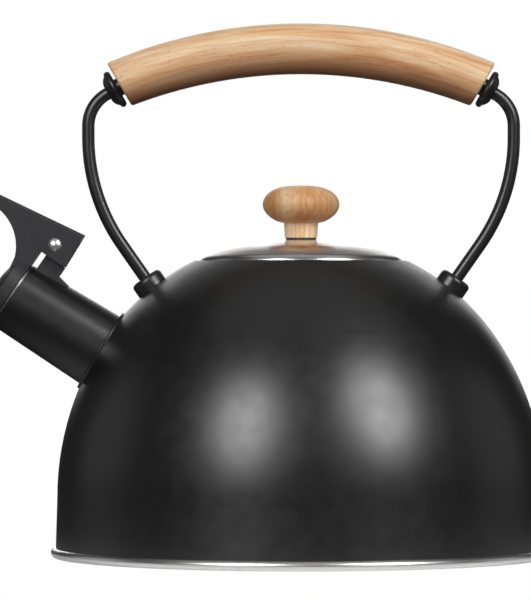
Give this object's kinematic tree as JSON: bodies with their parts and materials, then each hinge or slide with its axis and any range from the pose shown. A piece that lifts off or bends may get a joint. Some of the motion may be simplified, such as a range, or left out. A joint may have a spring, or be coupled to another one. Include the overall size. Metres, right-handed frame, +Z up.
{
  "type": "whistling kettle",
  "caption": "Stovetop whistling kettle: domed water vessel on a flat base, angled spout with a sprung whistle cap, lift-off lid with knob, and a bent-rod handle with a wooden grip.",
  "frame": {"origin": "centre of the base on the dome's axis, in the plane the kettle stands on", "axes": "+Z up along the dome's axis, -X towards the spout, Y across"},
  "size_m": [0.2437, 0.2136, 0.2275],
  "materials": {
    "black_enamel": "satin black baked enamel",
    "gloss_black": "glossy black coating",
    "stainless": "satin stainless steel",
    "mirror_steel": "mirror-polished stainless steel",
    "aluminium": "plain",
    "black_nylon": "satin moulded nylon",
    "light_wood": "oiled light hardwood",
    "silicone": "matt silicone",
    "brass": "plain"
  },
  "bodies": {
    "kettle": {"dome_shell": "black_enamel", "base_plate": "stainless", "heat_spreader": "aluminium", "base_cap": "stainless", "spout_tube": "black_enamel", "spout_collar": "black_enamel", "spout_lip": "stainless", "hinge_bracket": "black_nylon", "hinge_pin": "mirror_steel", "handle_grip": "light_wood", "whistle_spring": "stainless", "handle_rod_left": "gloss_black", "handle_foot_left": "gloss_black", "foot_seal_left": "silicone", "foot_screw_left": "stainless", "grip_ferrule_left": "gloss_black", "grip_insert_left": "brass", "handle_rod_right": "gloss_black", "handle_foot_right": "gloss_black", "foot_seal_right": "silicone", "foot_screw_right": "stainless", "grip_ferrule_right": "gloss_black", "grip_insert_right": "brass"},
    "whistle": {"lever_cap": "black_nylon", "whistle_cup": "stainless", "whistle_rear_disc": "stainless", "whistle_front_disc": "stainless", "cap_seal": "silicone"},
    "lid": {"lid_cover": "mirror_steel", "lid_skirt": "stainless", "knob": "light_wood", "knob_washer": "silicone", "knob_insert": "brass", "knob_screw": "stainless"}
  },
  "joints": [
    {"name": "whistle_hinge", "type": "hinge", "parent": "kettle", "child": "whistle", "pos_m": [-0.10489, 0, 0.13289], "axis": [0, 1, 0], "range_deg": [0, 60], "stiffness_Nm_per_rad": 0.03, "springref_deg": -45.84, "deforming": ["whistle_spring"]},
    {"name": "lid_lift", "type": "slide", "parent": "kettle", "child": "lid", "axis": [0, 0, 1], "range_m": [0, 0.04]}
  ]
}
